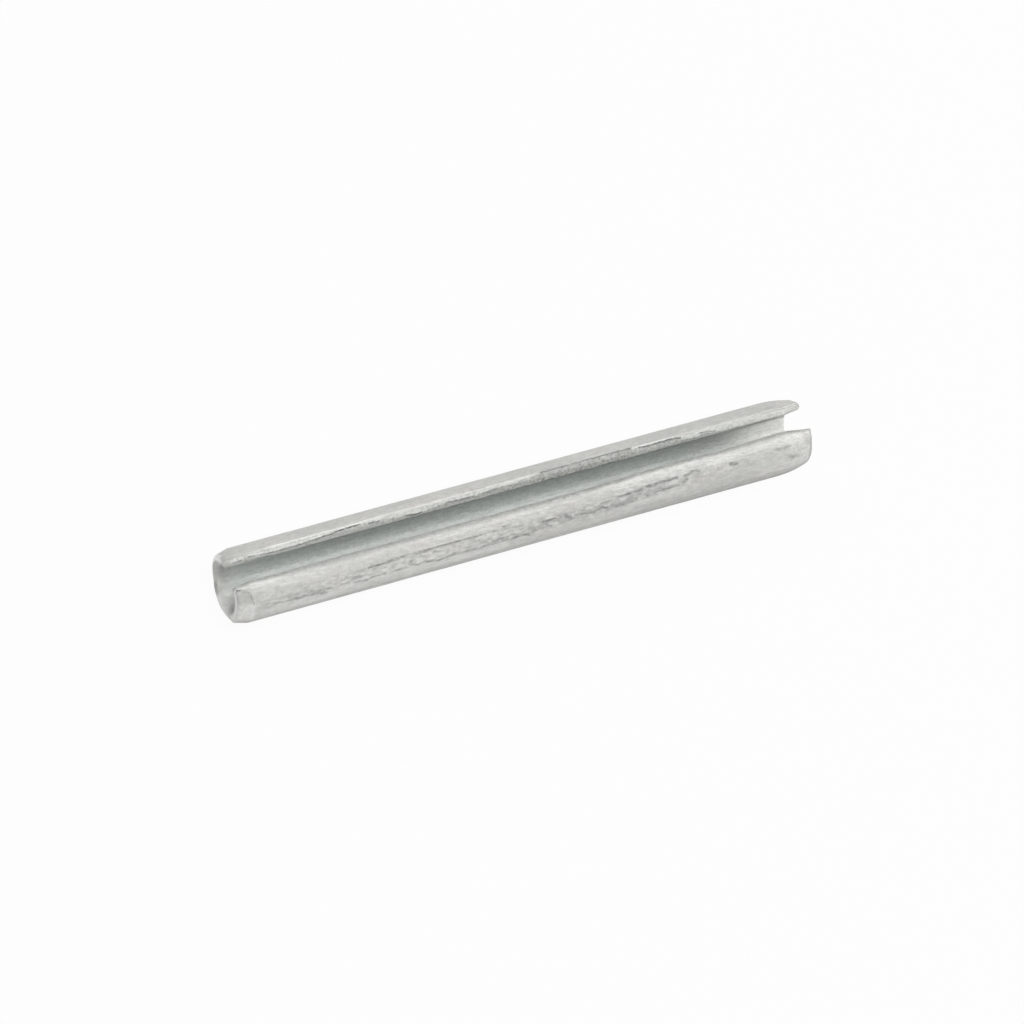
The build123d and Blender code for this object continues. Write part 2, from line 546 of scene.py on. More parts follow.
@dataclass(frozen=True)
class DrawnSkin(Wear):
    """The skin between the lips, as drawing, scoring and tumbling left it, with painted shade on
    its belly.

    Attributes:
        scars: Grooves that the plating has left dark.
        rubs: Small places that are rubbed bright, and broader lighter ones.
        dull: Broad places that are darker.
        scored_line: The middle of the rough scored band round the skin, along the pin.
        scored_width: How wide the band is to either side, in millimetres.
        scored: How rough the band is.
        scored_dulling: How dull the band is, along the pin.
        belly_line: Where the painted shade on the belly starts round the skin, along the pin.
        belly_edge: How it starts, by the distance round the skin past that line.
        lead_belly: Where that painted shade is darkest, towards the lead.
        belly_end: How it ends round the skin.
        lead_rim: How much darker the rim of the lead is.
    """

    scars: RaggedMarks = RaggedMarks(SCARS)
    rubs: RaggedMarks = RaggedMarks(RUBS)
    dull: RaggedMarks = RaggedMarks(DULL)
    scored_line: Line = ((-26.0, 2.7), (-15.0, 2.3), (-4.0, 2.2), (5.0, 2.1), (11.0, 1.8),
                         (16.0, 1.6), (25.0, 2.0))
    scored_width: float = 0.75
    scored: Patch = Patch({
        Measure.X: ((-26.5, 0.2), (-24.0, 0.8), (-15.0, 0.8), (2.0, 1.0), (12.0, 0.9),
                    (17.0, 0.5), (22.0, 0.2), (27.0, 0.1)),
        Measure.WALL: ((0.6, 0.0), (0.9, 1.0)),
    })
    scored_dulling: Line = ((-4.0, 0.0), (4.0, 0.35))
    belly_line: Line = ((-27.0, 4.1), (-18.0, 3.85), (-5.0, 3.75), (6.0, 3.6), (16.0, 3.35),
                        (24.0, 3.45))
    belly_edge: Line = ((0.0, 0.0), (0.55, 0.5))
    lead_belly: Patch = Patch({
        Measure.GIRTH: ((3.95, 0.0), (4.6, 1.0)),
        Measure.X: ((0.0, 0.0), (16.0, 1.0)),
    })
    belly_end: Line = ((5.5, 1.0), (7.5, 0.0))
    lead_rim: Patch = Patch({
        Measure.LEAD: ((0.24, 0.8), (0.42, 0.0)),
        Measure.WALL: ((0.75, 0.0), (0.95, 1.0)),
    })

    def shares(self, spot: Spot) -> dict[Trace, float]:
        """How the skin looks at a place: its wear and its painted shade.

        Args:
            spot: The place of the pin.

        Returns:
            How rough and dark it is, with painted shade on the belly, and the marks on it.
        """
        across = (spot.girth - read_off(self.scored_line, spot.x)) / self.scored_width
        rough = exp(-across * across) * self.scored.at(spot)
        scored = rough * read_off(self.scored_dulling, spot.x)
        # Painted shade round the belly, darker towards the lead.
        belly = read_off(self.belly_edge, spot.girth - read_off(self.belly_line, spot.x))
        belly = max(belly, self.lead_belly.at(spot)) * read_off(self.belly_end, spot.girth)
        shade = max(belly, scored, self.lead_rim.at(spot), self.dull.at(spot))
        shares = {
            Trace.ROUGH: rough,
            Trace.SHADE: shade * read_off(ON_SKIN, spot.outside),
        }
        if spot.outside > 0.5 or spot.over_lip > 0.0:
            shares[Trace.SCAR] = self.scars.at(spot)
            shares[Trace.SHINE] = self.rubs.at(spot)
        return shares


@dataclass(frozen=True)
class PaintedBoreShading(Wear):
    """The bore, with painted shade deep in it and towards the lead, and painted light beside the
    slot and in its two mouths.

    Attributes:
        deep_shade: Painted shade deep in the bore, which ends before the lead.
        shadow: Painted shadow under the far lip, towards the lead's mouth.
        stain_and_shade: Painted shade along the bore, most towards the lead.
        lead_mouth: Painted light in the lead's mouth.
        slot_edge: A strip of painted light beside the slot.
        cut_mouth: Painted light on the floor of the chamfered end's mouth.
        tint: How much of the bore's own colour shows.
    """

    deep_shade: Patch = Patch({
        Measure.X: ((16.0, 1.0), (24.0, 0.0)),
        Measure.TURN: ((40.0, 0.0), (50.0, 0.06), (62.0, 0.20), (77.0, 0.14), (95.0, 0.30)),
    })
    shadow: Patch = Patch({
        Measure.X: ((18.0, 0.0), (22.0, 0.4)),
        Measure.TURN: ((69.0, 0.0), (77.0, 1.0)),
    })
    stain_and_shade: Patch = Patch({
        Measure.X: ((-26.5, 0.10), (-25.0, 0.22), (-20.0, 0.06), (0.0, 0.02), (8.0, 0.12),
                    (14.0, 0.22), (19.0, 0.38), (21.5, 0.30), (24.0, 0.0)),
        Measure.TURN: ((34.0, 0.0), (46.0, 1.0)),
    })
    lead_mouth: Patch = Patch({
        Measure.X: ((20.5, 0.0), (25.0, 1.0)),
        Measure.TURN: ((28.0, 0.30), (40.0, 0.42), (50.0, 0.54), (60.0, 0.68), (68.0, 0.85),
                       (78.0, 0.10)),
    })
    slot_edge: Patch = Patch({
        Measure.X: ((-25.0, 0.0), (-23.0, 0.38), (13.0, 0.38), (16.5, 0.0)),
        Measure.TURN: ((26.0, 0.0), (31.0, 1.0), (36.0, 1.0), (44.0, 0.0)),
    })
    cut_mouth: Patch = Patch({
        Measure.X: ((-26.7, 0.55), (-25.9, 0.0)),
        Measure.TURN: ((-28.0, 0.0), (-16.0, 1.0), (12.0, 1.0), (24.0, 0.0)),
    })
    tint: Patch = Patch({
        Measure.X: ((-27.1, 0.0), (-25.2, 1.0), (17.5, 1.0), (26.5, 0.0)),
        Measure.WALL: ((0.0, 1.0), (0.35, 0.0)),
    })

    def shares(self, spot: Spot) -> dict[Trace, float]:
        """How the bore looks at a place.

        Args:
            spot: The place of the pin.

        Returns:
            Its painted shade, its painted light and its tint.
        """
        on_bore = 1.0 - read_off(OFF_BORE, spot.outside)
        # Painted shade in the bore.
        dull = max(patch.at(spot) for patch in (self.deep_shade, self.shadow, self.stain_and_shade))
        # Painted light in the bore.
        bright = max(patch.at(spot) for patch in (self.lead_mouth, self.slot_edge, self.cut_mouth))
        return {
            Trace.SHADE: dull * on_bore,
            Trace.PAINTED_LIGHT: bright * on_bore,
            Trace.INSIDE: self.tint.at(spot),
        }


@dataclass(frozen=True)
class CutFace(Wear):
    """The end face at the chamfered end, with the bore's mouth and the chamfer beside it, and
    painted light and shade on them.

    Attributes:
        reach: How far in from the end its marks go, in millimetres.
        tone: How much painted light lies on the face. Under 0 it is painted shade.
        tone_change: How much that changes from place to place.
        shine_wall: How much of the painted light shows, through the wall.
        outer_half: The outer half of the face on the near side, which has no tone.
        outer_shade: The painted shade on that half, from the end inwards.
        rim: The painted highlight on the face's outer rim.
        mouth: The painted shade in the bore's mouth on the far side.
        mouth_width: How far that shade reaches out through the wall, by degrees round.
        crescent: The painted shadow in the bore's mouth on the near side.
        facet: The painted highlight on the chamfer's lower part.
    """

    reach: float = 1.55
    tone: Patch = Patch({
        Measure.TURN: ((-75.0, 0.5), (-45.0, 0.15), (-30.0, 0.1), (-12.0, 0.6), (16.0, 0.6),
                       (24.0, -0.8), (40.0, -1.0), (50.0, -0.3), (62.0, 0.9), (106.0, 1.0),
                       (125.0, 0.7), (138.0, 0.6), (148.0, -0.2), (158.0, -0.2)),
        Measure.CUT: ((0.06, 1.0), (0.16, 0.0)),
    })
    tone_change: float = 0.5
    shine_wall: Line = ((0.1, 0.0), (0.4, 1.0))
    outer_half: Patch = Patch({
        Measure.TURN: ((-157.0, 0.0), (-149.0, 1.0), (-95.0, 1.0), (-72.0, 0.0)),
        Measure.WALL: ((0.62, 0.0), (0.86, 1.0)),
    })
    outer_shade: Line = ((0.06, 0.45), (0.16, 0.0))
    rim: Patch = Patch({
        Measure.TURN: ((-38.0, 0.0), (-25.0, 0.5), (12.0, 0.5), (22.0, 0.0), (50.0, 0.0),
                       (64.0, 0.5), (115.0, 0.5), (130.0, 0.0)),
        Measure.CUT: ((0.06, 1.0), (0.14, 0.0)),
        Measure.WALL: ((0.45, 0.0), (0.85, 1.0)),
    })
    mouth: Patch = Patch({
        Measure.TURN: ((45.0, 0.0), (65.0, 0.55)),
        Measure.CUT: ((0.3, 1.0), (1.1, 0.0)),
    })
    mouth_width: Line = ((78.0, 0.6), (106.0, 0.15))
    crescent: Patch = Patch({
        Measure.TURN: ((-148.0, 0.16), (-118.0, 0.8), (-50.0, 0.8), (-25.0, 0.0)),
        Measure.CUT: ((0.4, 1.0), (1.4, 0.0)),
        Measure.WALL: ((0.0, 1.0), (0.3, 0.0)),
    })
    facet: Patch = Patch({
        Measure.GIRTH: ((1.7, 0.0), (2.5, 0.5), (3.8, 0.5), (4.6, 0.0)),
        Measure.CUT: ((1.3, 1.0), (1.55, 0.0)),
        Measure.WALL: ((0.8, 0.0), (1.0, 1.0)),
    })

    def shares(self, spot: Spot) -> dict[Trace, float]:
        """How the chamfered end looks at a place.

        Args:
            spot: The place of the pin.

        Returns:
            Its painted shade, painted highlight and painted light.
        """
        if spot.from_cut > self.reach:
            return {}
        outer_half = self.outer_half.at(spot)
        change = self.tone_change * grain(0.15 * spot.turn, 3.0 * spot.outside, 31.0)
        # Painted light on the face, and painted shade where the tone is under 0.
        tone = self.tone.at(spot) * (1.0 - outer_half) * (1.0 + change)
        outer_shading = outer_half * read_off(self.outer_shade, spot.from_cut)
        mouth_edge = read_off(self.mouth_width, spot.turn)
        mouth = self.mouth.at(spot) * smoothstep(mouth_edge, 0.0, spot.outside)
        shine = tone * read_off(self.shine_wall, spot.outside)
        return {
            Trace.SHADE: max(-tone, outer_shading, mouth, self.crescent.at(spot)),
            Trace.SHINE: max(shine, self.facet.at(spot)),
            Trace.PAINTED_LIGHT: self.rim.at(spot),
        }


@dataclass(frozen=True)
class Pattern:
    """A noise pattern on Object coordinates.

    Attributes:
        cells: Cells for each metre along, across and up.
        detail: How many finer layers are added.
        height: How high its relief is, in metres.
    """

    cells: Place
    detail: float = 3.0
    height: float = 0.0


@dataclass(frozen=True)
class Nodes:
    """Makes and joins the nodes of one material.

    Attributes:
        tree: The material's nodes.
    """

    tree: bpy.types.NodeTree

    def noise(self, pattern: Pattern) -> bpy.types.NodeSocket:
        """A noise pattern.

        Args:
            pattern: Its cells and detail.

        Returns:
            The socket with values round 0.5.
        """
        place = self.tree.nodes.new("ShaderNodeTexCoord")
        mapping = self.tree.nodes.new("ShaderNodeMapping")
        mapping.inputs["Scale"].default_value = pattern.cells
        texture = self.tree.nodes.new("ShaderNodeTexNoise")
        texture.inputs["Scale"].default_value = 1.0
        texture.inputs["Detail"].default_value = pattern.detail
        self.tree.links.new(place.outputs["Object"], mapping.inputs["Vector"])
        self.tree.links.new(mapping.outputs["Vector"], texture.inputs["Vector"])
        return texture.outputs["Fac"]

    def trace(self, trace: Trace) -> bpy.types.NodeSocket:
        """A trace of wear.

        Args:
            trace: The trace, whose attribute the mesh has.

        Returns:
            The socket with its share.
        """
        node = self.tree.nodes.new("ShaderNodeAttribute")
        node.attribute_name = trace.value
        return node.outputs["Fac"]

    def ramp(self, value: bpy.types.NodeSocket, low: float, high: float, most: float = 1.0,
             least: float = 0.0) -> bpy.types.NodeSocket:
        """Turns a value into a share that rises from least at low to most at high.

        Args:
            value: The value.
            low: Where the share starts to rise. It may be over high, for a fall.
            high: Where the share reaches its most.
            most: The largest share.
            least: The smallest share.

        Returns:
            The socket with the share.
        """
        node = self.tree.nodes.new("ShaderNodeMapRange")
        node.interpolation_type = "SMOOTHSTEP"
        node.inputs["From Min"].default_value = min(low, high)
        node.inputs["From Max"].default_value = max(low, high)
        node.inputs["To Min"].default_value = most if low > high else least
        node.inputs["To Max"].default_value = least if low > high else most
        self.tree.links.new(value, node.inputs["Value"])
        return node.outputs["Result"]

    def combine(self, operation: str, first: bpy.types.NodeSocket,
                second: bpy.types.NodeSocket | float) -> bpy.types.NodeSocket:
        """Works out one value from two.

        Args:
            operation: The Math node's operation.
            first: The first value.
            second: The second one, or a number.

        Returns:
            The socket with the result.
        """
        node = self.tree.nodes.new("ShaderNodeMath")
        node.operation = operation
        self.tree.links.new(first, node.inputs[0])
        if isinstance(second, float):
            node.inputs[1].default_value = second
        else:
            self.tree.links.new(second, node.inputs[1])
        return node.outputs[0]

    def blend(self, share: bpy.types.NodeSocket, under: bpy.types.NodeSocket | Colour,
              over: Colour) -> bpy.types.NodeSocket:
        """Lays a colour over another one.

        Args:
            share: How much of the upper colour shows.
            under: The lower colour, or the socket that gives it.
            over: The upper colour.

        Returns:
            The socket with the mixed colour.
        """
        node = self.tree.nodes.new("ShaderNodeMix")
        node.data_type = "RGBA"
        if isinstance(under, tuple):
            node.inputs["A"].default_value = (*under, 1.0)
        else:
            self.tree.links.new(under, node.inputs["A"])
        node.inputs["B"].default_value = (*over, 1.0)
        self.tree.links.new(share, node.inputs["Factor"])
        return node.outputs["Result"]

    def relief(self, layers: tuple[tuple[bpy.types.NodeSocket, Pattern], ...]
               ) -> bpy.types.NodeSocket:
        """The finest relief, as several patterns laid over each other.

        Args:
            layers: The socket of each pattern, with the pattern.

        Returns:
            The socket with the relief's normal.
        """
        under = None
        for values, pattern in layers:
            node = self.tree.nodes.new("ShaderNodeBump")
            node.inputs["Strength"].default_value = 1.0
            node.inputs["Distance"].default_value = pattern.height
            self.tree.links.new(values, node.inputs["Height"])
            if under is not None:
                self.tree.links.new(under, node.inputs["Normal"])
            under = node.outputs["Normal"]
        return under


@dataclass(frozen=True)
class ZincFinish:
    """Satin zinc plate over drawn and rolled steel strip.

    Attributes:
        name: The finish's name in the library.
        plate: The plating's own colour.
        cool: The colour of its clouds.
        warm: The colour of its spots.
        wear_and_shading: The colour of dull places, and of painted shade.
        stain_and_shade: The colour of scars and torn places.
        bright: The colour of rubbed places, and of painted light and highlight.
        bore: The colour of the bore.
        metallic: How metallic the satin plating is.
        roughness: The least and the greatest roughness.
        drawn: The lines of the drawing die.
        grit: The finest grain.
        crumb: The crumbled look of the scored band.
        mottle: The warm spots.
        cloud: The cool clouds.
        fleck: The broken edges of shine and tearing.
        streak: The breaks along the scars.
    """

    name: str = "zinc_plated_steel"
    plate: Colour = (0.638, 0.636, 0.610)
    cool: Colour = (0.594, 0.599, 0.573)
    warm: Colour = (0.634, 0.609, 0.587)
    wear_and_shading: Colour = (0.37, 0.37, 0.355)
    stain_and_shade: Colour = (0.195, 0.205, 0.192)
    bright: Colour = (0.95, 0.957, 0.925)
    bore: Colour = (0.635, 0.668, 0.648)
    metallic: float = 0.4
    roughness: tuple[float, float] = (0.50, 0.66)
    drawn: Pattern = Pattern((90.0, 4200.0, 4200.0), height=0.00003)
    grit: Pattern = Pattern((3400.0, 6500.0, 6500.0), height=0.00003)
    crumb: Pattern = Pattern((1500.0, 3600.0, 3600.0), height=0.00004)
    mottle: Pattern = Pattern((420.0, 900.0, 900.0), 4.0, height=0.00006)
    cloud: Pattern = Pattern((140.0, 260.0, 260.0), 2.0)
    fleck: Pattern = Pattern((4200.0, 3000.0, 3000.0), 4.0)
    streak: Pattern = Pattern((620.0, 3800.0, 3800.0))

    def material(self) -> bpy.types.Material:
        """Makes the node material.

        Returns:
            The material, with its patterns on Object coordinates and the pin's attributes.
        """
        material = bpy.data.materials.new(self.name)
        material.use_nodes = True
        tree = material.node_tree
        nodes = Nodes(tree)
        drawn = nodes.noise(self.drawn)
        grit = nodes.noise(self.grit)
        crumb = nodes.noise(self.crumb)
        mottle = nodes.noise(self.mottle)
        cloud = nodes.noise(self.cloud)
        fleck = nodes.noise(self.fleck)
        streak = nodes.noise(self.streak)

        rough = nodes.ramp(nodes.trace(Trace.ROUGH), 0.0, 1.0, least=0.3)
        flecked = nodes.ramp(fleck, 0.36, 0.60, least=0.42)
        crumbled = nodes.combine("MULTIPLY", nodes.ramp(fleck, 0.62, 0.36, least=0.1),
                                 nodes.ramp(grit, 0.60, 0.36, least=0.4))
        broken = nodes.combine("MULTIPLY", nodes.ramp(streak, 0.30, 0.52, least=0.45),
                               nodes.ramp(grit, 0.34, 0.58, least=0.5))
        scar = nodes.ramp(nodes.trace(Trace.SCAR), 0.04, 0.7)
        coats = (
            (nodes.ramp(cloud, 0.40, 0.60), self.cool),
            (nodes.ramp(mottle, 0.45, 0.70, most=0.6), self.warm),
            (nodes.trace(Trace.INSIDE), self.bore),
            (nodes.ramp(drawn, 0.50, 0.75, most=0.2), self.wear_and_shading),
            (nodes.ramp(fleck, 0.50, 0.68, most=0.22), self.wear_and_shading),
            # Painted shade, then painted light, laid on from the mesh's traces.
            (nodes.trace(Trace.SHADE), self.wear_and_shading),
            (nodes.trace(Trace.PAINTED_LIGHT), self.bright),
            (nodes.combine("MULTIPLY", rough, nodes.ramp(crumb, 0.52, 0.34, most=0.6)), self.wear_and_shading),
            (nodes.combine("MULTIPLY", rough, nodes.ramp(crumb, 0.50, 0.66, most=0.34)),
             self.bright),
            # Rubbed marks and painted highlight.
            (nodes.combine("MULTIPLY", nodes.trace(Trace.SHINE), flecked), self.bright),
            (nodes.combine("MULTIPLY", nodes.trace(Trace.TORN), crumbled), self.stain_and_shade),
            (nodes.combine("MULTIPLY", scar, broken), self.stain_and_shade),
        )
        colour = self.plate
        for share, coat in coats:
            colour = nodes.blend(share, colour, coat)

        roughness = tree.nodes.new("ShaderNodeMapRange")
        roughness.inputs["To Min"].default_value = self.roughness[0]
        roughness.inputs["To Max"].default_value = self.roughness[1]
        tree.links.new(grit, roughness.inputs["Value"])
        relief = nodes.relief(((mottle, self.mottle), (crumb, self.crumb),
                               (drawn, self.drawn), (grit, self.grit)))
        shader = tree.nodes["Principled BSDF"]
        shader.inputs["Metallic"].default_value = self.metallic
        tree.links.new(colour, shader.inputs["Base Color"])
        tree.links.new(roughness.outputs["Result"], shader.inputs["Roughness"])
        tree.links.new(relief, shader.inputs["Normal"])
        return material


@dataclass(frozen=True)
class PinEnd(ABC):
    """What turning and shearing leave at one end of the pin.

    Attributes:
        length: How far the turned part reaches from the end, in millimetres.
        depth: How much it is turned down at the end.
        edge_round: The round on the skin's end edge, by degrees round from the belly.
        mouth_round: The round on the bore's end edge, by degrees round from the belly.
        set_back: How far the end face stands back, by degrees round from the belly.
        corner_round: The round on each lip's end corner.
        fade: How far in the wear of the end face reaches.
    """

    length: float
    depth: float
    edge_round: Line
    mouth_round: Line
    set_back: Line
    corner_round: dict[Side, float]
    fade: float = 2.4

    @abstractmethod
    def turned_down(self, from_end: float) -> float:
        """How much is turned off the skin, at a distance from the end."""

    def skin_loss(self, from_end: float, turn: float) -> float:
        """How much lower the skin is than the free radius.

        Args:
            from_end: The distance from the end in millimetres.
            turn: Degrees round from the belly, positive on the far side.

        Returns:
            What is turned down and rounded off, in millimetres.
        """
        return self.turned_down(from_end) + rounding(read_off(self.edge_round, turn), from_end)

    def mouth_gain(self, from_end: float, turn: float) -> float:
        """How much wider the bore is at its mouth.

        Args:
            from_end: The distance from the end in millimetres.
            turn: Degrees round from the belly, positive on the far side.

        Returns:
            What the rounded mouth adds to the bore's radius.
        """
        return rounding(read_off(self.mouth_round, turn), from_end)

    def shortening(self, from_end: float, turn: float, from_lip: float) -> float:
        """How far a place moves in from the end, in millimetres.

        Args:
            from_end: The distance from the end.
            turn: Degrees round from the belly, positive on the far side.
            from_lip: The distance from the nearer lip along the strip's width.

        Returns:
            The move towards the pin's middle.
        """
        side = Side.FAR if turn > 0 else Side.NEAR
        corner = rounding(self.corner_round[side], from_lip)
        share = smoothstep(self.fade, 0.0, from_end)
        return (read_off(self.set_back, turn) + corner) * share


@dataclass(frozen=True)
class ChamferedEnd(PinEnd):
    """The end with a plain chamfer."""

    def turned_down(self, from_end: float) -> float:
        """The chamfer's straight slope."""
        return self.depth * max(1.0 - from_end / self.length, 0.0)


@dataclass(frozen=True)
class LeadEnd(PinEnd):
    """The end with the long crowned lead.

    Attributes:
        entry_angle: The slope where the lead starts, in degrees.
    """

    entry_angle: float = 1.5

    def turned_down(self, from_end: float) -> float:
        """A slope that steepens towards the end.

        Args:
            from_end: The distance from the end in millimetres.

        Returns:
            How much is turned off the skin there.
        """
        along = max(1.0 - from_end / self.length, 0.0)
        entry = sin(radians(self.entry_angle)) * self.length
        return entry * along + (self.depth - entry) * along * along


@dataclass
class RolledStrip:
    """The pin itself. It starts as a flat strip with rounded edges and is then rolled up.

    Sizes are in millimetres.

    Attributes:
        length: The pin's length.
        outer_radius: The free radius of the skin.
        wall: The strip's thickness.
        slot_gap: The slot's width half way through the wall.
        lip_outer_round: The round between each lip's face and the skin.
        lip_inner_round: The round between each lip's face and the bore.
        lip_segments: How many faces make one of these rounds.
        far_lip_lean: How far the outer half of the far lip's face leans back.
        belly_flat: The width of the flat along the belly.
        lip_recess: How far each lip stands back, along the pin. Under 0 it stands proud.
        lip_bend: How much of the way down a lip's face counts as way round the skin, by the
            distance from the lip.
        recess_share: How much of a lip's recess there is, by the distance from the lip.
        lean_share: How much of the far lip's lean there is, by the distance from the lip.
        lean_wall: How much of the far lip's lean there is through the wall.
        chamfered_end: The end at -X.
        lead_end: The end at +X.
        stations: How many parts the length is sliced into.
        strips_round: How many parts the width is sliced into.
        layers: Where the lips' faces are sliced, in shares of the wall.
        end_rings: How far from both ends extra slices lie.
        chamfer_rings: How far to either side of the chamfer's edge extra slices lie.
        wear: What wears the pin, and the painted light and shade on it.
        waves: The waviness of the whole surface.
        relief: The waviness that comes with a trace.
        scar_depth: The depth of a full scar.
        finish: The plating.
    """

    length: float = 55.0
    outer_radius: float = 3.275
    wall: float = 1.2
    slot_gap: float = 2.0
    lip_outer_round: dict[Side, float] = field(default_factory=lambda: {
        Side.NEAR: 0.34,
        Side.FAR: 0.12,
    })
    lip_inner_round: float = 0.30
    lip_segments: int = 6
    far_lip_lean: float = 0.03
    belly_flat: float = 0.75
    lip_recess: dict[Side, Line] = field(default_factory=lambda: {
        Side.NEAR: ((-27.5, 0.22), (-25.9, 0.06), (-18.0, 0.09), (5.0, 0.12), (8.0, 0.06),
                    (11.5, -0.05), (15.0, -0.06), (18.5, -0.02), (23.5, -0.13), (24.8, -0.13),
                    (27.5, 0.14)),
        Side.FAR: ((-27.5, 0.20), (-26.6, 0.05), (-25.5, 0.0), (25.4, 0.0), (27.5, 0.45)),
    })
    lip_bend: Line = ((0.4, 1.0), (0.9, 0.0))
    recess_share: Line = ((0.2, 1.0), (2.2, 0.0))
    lean_share: Line = ((0.0, 1.0), (1.6, 0.0))
    lean_wall: Line = ((0.5, 0.0), (1.05, 1.0))
    chamfered_end: ChamferedEnd = ChamferedEnd(
        length=1.2, depth=0.30, edge_round=((0.0, 0.12),),
        mouth_round=((-158.0, 0.12), (-60.0, 0.15), (-20.0, 0.60), (80.0, 0.70), (100.0, 0.50),
                     (124.0, 0.12)),
        set_back=((-158.0, 0.0), (-90.0, 0.0), (-60.0, 0.10), (-38.0, 0.24), (-20.0, 0.21),
                  (-5.0, 0.15), (15.0, 0.16), (30.0, 0.19), (45.0, 0.26), (75.0, 0.19),
                  (105.0, 0.11), (158.0, 0.09)),
        corner_round={Side.NEAR: 0.25, Side.FAR: 0.10})
    lead_end: LeadEnd = LeadEnd(
        length=2.9, depth=0.46, edge_round=((-158.0, 0.17), (110.0, 0.20), (158.0, 0.37)),
        mouth_round=((-158.0, 0.12), (120.0, 0.12), (158.0, 0.32)),
        set_back=((-158.0, 0.01), (-145.0, 0.05), (-128.0, 0.11), (-60.0, 0.15), (0.0, 0.28),
                  (80.0, 0.28), (108.0, 0.04), (142.0, 0.0), (158.0, -0.16)),
        corner_round={Side.NEAR: 0.07, Side.FAR: 0.15})
    stations: int = 340
    strips_round: int = 96
    layers: tuple[float, ...] = (0.28, 0.35, 0.42, 0.49, 0.56, 0.63, 0.70, 0.77, 0.84, 0.92)
    end_rings: tuple[float, ...] = (0.015, 0.04, 0.07, 0.10, 0.22, 0.28, 0.38, 0.44)
    chamfer_rings: tuple[float, ...] = (-0.03, 0.0, 0.03)
    wear: tuple[Wear, ...] = (ShearedLip(), RoundedLip(), DrawnSkin(), PaintedBoreShading(), CutFace())
    waves: tuple[Unevenness, ...] = (
        Unevenness(0.010, 0.35, 0.5),
        Unevenness(0.005, 1.3, 1.4, 5.0),
    )
    relief: dict[Trace, Unevenness] = field(default_factory=lambda: {
        Trace.ROUGH: Unevenness(0.012, 3.2, 4.6, 9.0),
        Trace.TORN: Unevenness(0.060, 4.5, 6.0, 7.0),
        Trace.SHINE: Unevenness(0.020, 2.5, 3.0, 3.0),
    })
    scar_depth: float = 0.045
    finish: ZincFinish = ZincFinish()

    @property
    def bore_radius(self) -> float:
        """The inside of the roll."""
        return self.outer_radius - self.wall

    @property
    def middle_radius(self) -> float:
        """The radius that keeps the flat strip's width."""
        return self.outer_radius - self.wall / 2

    @property
    def stretch(self) -> float:
        """How much wider the rolled skin is than the flat strip."""
        return self.outer_radius / self.middle_radius

    @property
    def flat_level(self) -> float:
        """How far the flat along the belly lies under the axis."""
        return sqrt(self.outer_radius ** 2 - (self.belly_flat / 2) ** 2)

    @property
    def half_width(self) -> float:
        """Half the flat strip's width: from the belly to a lip."""
        return (pi - asin(self.slot_gap / 2 / self.middle_radius)) * self.middle_radius

    def build(self) -> bpy.types.Object:
        """Makes the finished pin.

        Returns:
            The object, at the origin, with its place in its mesh.
        """
        strip = self._flat_strip()
        self._slice(strip)
        self._roll(strip)
        self._wear_down(strip)
        mesh = bpy.data.meshes.new("spring_pin_skin")
        bmesh.ops.recalc_face_normals(strip, faces=strip.faces)
        for face in strip.faces:
            face.smooth = True
        strip.to_mesh(mesh)
        strip.free()
        mesh.materials.append(self.finish.material())
        pin = bpy.data.objects.new("spring_pin_skin", mesh)
        bpy.context.scene.collection.objects.link(pin)
        return pin

    def _flat_strip(self) -> bmesh.types.BMesh:
        """Makes the strip as it is before rolling.

        Returns:
            The strip, with X along it, Y across it and Z through its wall.
        """
        strip = bmesh.new()
        bmesh.ops.create_cube(strip, size=1.0)
        size = (self.length, 2 * self.half_width, self.wall)
        bmesh.ops.scale(strip, vec=size, verts=strip.verts)
        for side in Side:
            for top, radius in ((True, self.lip_outer_round[side]), (False, self.lip_inner_round)):
                edges = [edge for edge in strip.edges if self._is_lip_corner(edge, side, top)]
                bmesh.ops.bevel(strip, geom=edges, offset=radius, offset_type="OFFSET",
                                segments=self.lip_segments, profile=0.5, affect="EDGES",
                                material=-1)
        return strip

    def _is_lip_corner(self, edge: bmesh.types.BMEdge, side: Side, top: bool) -> bool:
        """Whether an edge of the plain strip runs along a lip.

        Args:
            edge: The edge.
            side: The lip's side.
            top: Whether the lip's outer corner is meant, or its inner one.

        Returns:
            True on that corner.
        """
        first, last = (vert.co for vert in edge.verts)
        middle = (first + last) / 2
        on_lip = abs(middle.y - side.value * self.half_width) < 1e-5
        on_face = abs(middle.z - (self.wall / 2 if top else -self.wall / 2)) < 1e-5
        return abs(middle.x) < 1e-5 and on_lip and on_face

    def _cut(self, strip: bmesh.types.BMesh, axis: int, places: list[float]) -> None:
        """Cuts the strip across at several places.

        Args:
            strip: The strip.
            axis: The axis that the places lie along: 0, 1 or 2.
            places: The places.
        """
        normal = Vector([float(index == axis) for index in range(3)])
        for place in places:
            geometry = strip.verts[:] + strip.edges[:] + strip.faces[:]
            bmesh.ops.bisect_plane(strip, geom=geometry, dist=1e-6, plane_co=normal * place,
                                   plane_no=normal)

